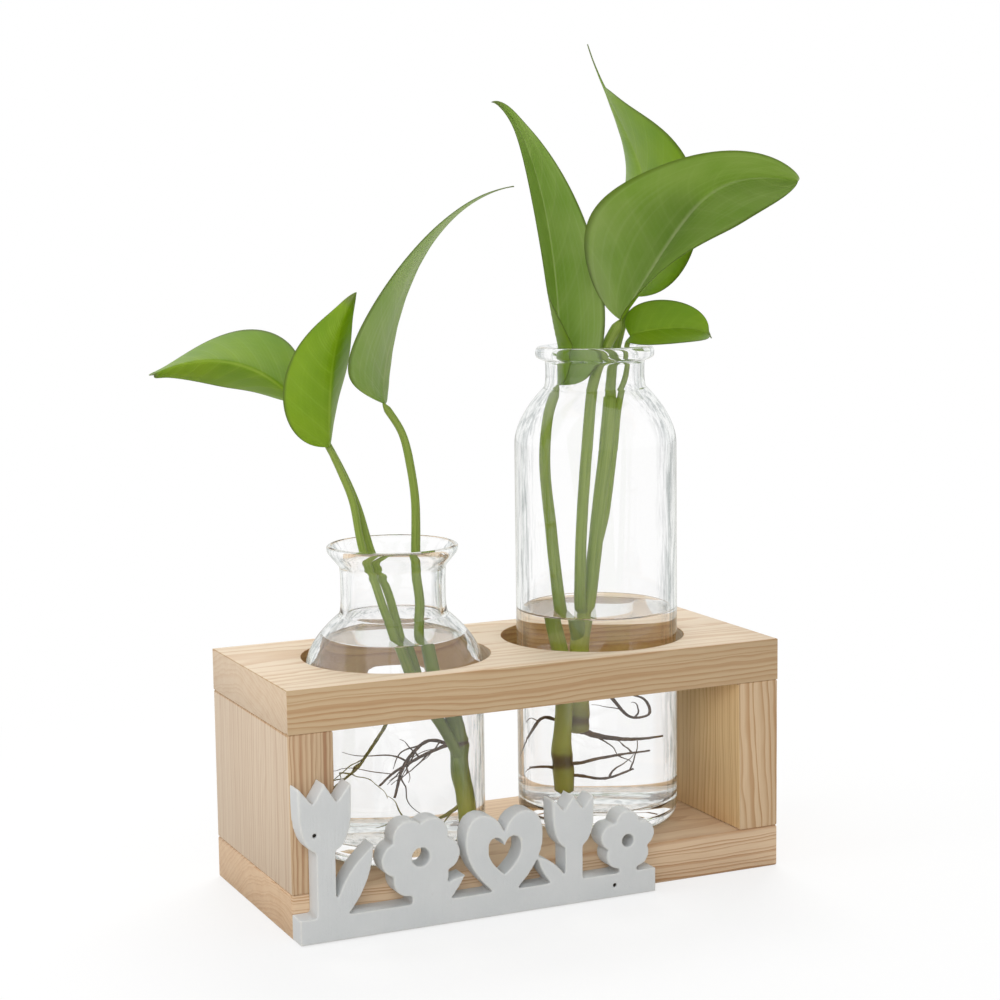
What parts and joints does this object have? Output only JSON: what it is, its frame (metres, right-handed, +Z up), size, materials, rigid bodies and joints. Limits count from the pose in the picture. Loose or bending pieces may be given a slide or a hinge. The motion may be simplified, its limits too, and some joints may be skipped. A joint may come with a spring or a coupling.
{
  "type": "hydroponic vase",
  "caption": "Pine stand with round holes for clear glass bottles that hold water and rooted leaf cuttings; each bottle lifts straight out, and a painted cut-out decorates the front.",
  "frame": {"origin": "centre of the stand's underside, on the surface that it stands on", "axes": "+Z up; +X to the right along the stand, towards the tall bottle; the cut-out is on the front, towards -Y"},
  "size_m": [0.2287, 0.1213, 0.32],
  "materials": {
    "pine_face": "planed, unfinished pine",
    "pine_edge": "planed, unfinished pine",
    "dowel_beech": "smooth beech",
    "white_paint": "matt white paint on wood",
    "nail_steel": "darkened steel",
    "clear_glass": "clear blown glass",
    "water": "clear still water",
    "green_stem": "smooth green stem",
    "root": "brown roots",
    "leaf_green": "satin leaf"
  },
  "bodies": {
    "stand": {"top_board": "pine_face", "bottom_board": "pine_face", "left_end_board": "pine_edge", "right_end_board": "pine_edge", "lower_dowel_left_front": "dowel_beech", "lower_dowel_left_back": "dowel_beech", "lower_dowel_right_front": "dowel_beech", "lower_dowel_right_back": "dowel_beech", "upper_dowel_left_front": "dowel_beech", "upper_dowel_left_back": "dowel_beech", "upper_dowel_right_front": "dowel_beech", "upper_dowel_right_back": "dowel_beech", "front_ornament": "white_paint", "upper_nail": "nail_steel", "lower_nail": "nail_steel"},
    "short_bottle": {"short_bottle": "clear_glass", "short_water": "water", "short_vine": "green_stem", "short_petiole_left": "green_stem", "short_petiole_middle": "green_stem", "short_petiole_right": "green_stem", "short_root_upper": "root", "short_root_arc": "root", "short_root_lower": "root", "short_root_hanging": "root", "leaf_1": "leaf_green", "leaf_2": "leaf_green", "leaf_3": "leaf_green"},
    "tall_bottle": {"tall_bottle": "clear_glass", "tall_water": "water", "tall_stem_left": "green_stem", "tall_stem_right": "green_stem", "tall_petiole_back": "green_stem", "tall_petiole_side": "green_stem", "tall_petiole_middle": "green_stem", "tall_root_thick": "root", "tall_root_loop": "root", "tall_root_left": "root", "tall_root_right": "root", "tall_root_rising": "root", "tall_root_arc": "root", "leaf_4": "leaf_green", "leaf_5": "leaf_green", "leaf_6": "leaf_green", "leaf_7": "leaf_green"}
  },
  "joints": [
    {"name": "short_bottle_lift", "type": "slide", "parent": "stand", "child": "short_bottle", "axis": [0, 0, 1], "range_m": [0, 0.09]},
    {"name": "tall_bottle_lift", "type": "slide", "parent": "stand", "child": "tall_bottle", "axis": [0, 0, 1], "range_m": [0, 0.09]}
  ]
}
